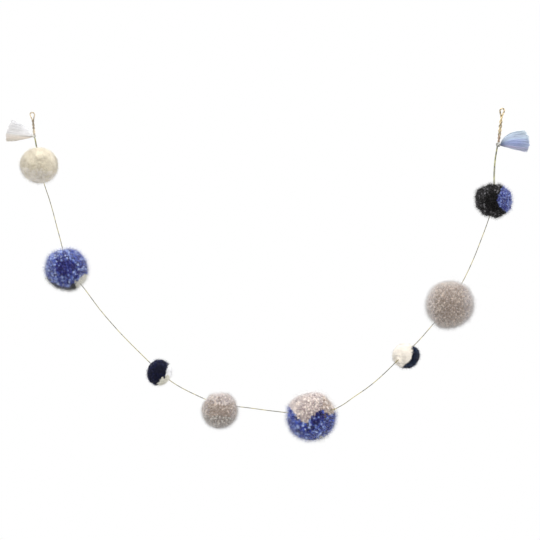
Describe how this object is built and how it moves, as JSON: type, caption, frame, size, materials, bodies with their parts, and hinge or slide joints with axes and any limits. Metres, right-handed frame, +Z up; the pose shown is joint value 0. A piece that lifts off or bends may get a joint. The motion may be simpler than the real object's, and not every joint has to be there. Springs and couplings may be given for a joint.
{
  "type": "pom pom garland",
  "caption": "Swag garland of cut-yarn pom poms in cream, blue, navy, taupe and black threaded on a fine gold cord, with a hanging loop, a knot and a thread tassel at each end.",
  "frame": {"origin": "where a hook bears, at the top inside the eye of the left hanging loop", "axes": "+Z up, +X along the garland towards the right hanging loop, -Y out of the wall towards the viewer; the swag hangs in the XZ plane"},
  "size_m": [0.9139, 0.0903, 0.5838],
  "materials": {
    "gold_thread": "fine two-ply thread with a pale gold lustre",
    "gold_cord": "twisted cord with a gold lustre",
    "yarn_cream": "cut wool yarn pile, matte",
    "yarn_blue_mix": "cut wool yarn pile in space-dyed blues, matte",
    "yarn_navy": "cut wool yarn pile, navy with a cream wedge, matte",
    "yarn_taupe": "cut wool yarn pile, matte",
    "yarn_taupe_blue": "cut wool yarn pile, taupe above space-dyed blue, matte",
    "yarn_cream_navy": "cut wool yarn pile, cream with a navy crescent, matte",
    "yarn_black_blue": "cut wool yarn pile, black with a blue wedge, matte",
    "tassel_white": "smooth thread with a soft lustre",
    "tassel_blue": "smooth thread with a soft lustre"
  },
  "bodies": {
    "root": {"cord": "gold_thread", "pom_1_cream": "yarn_cream", "pom_2_blue_mix": "yarn_blue_mix", "pom_3_navy": "yarn_navy", "pom_4_taupe": "yarn_taupe", "pom_5_taupe_blue": "yarn_taupe_blue", "pom_6_cream_navy": "yarn_cream_navy", "pom_7_taupe": "yarn_taupe", "pom_8_black_blue": "yarn_black_blue", "hanging_loop_left": "gold_cord", "hanging_loop_right": "gold_cord", "knot_left": "gold_cord", "knot_right": "gold_cord", "tassel_left": "tassel_white", "tassel_right": "tassel_blue"}
  },
  "joints": []
}
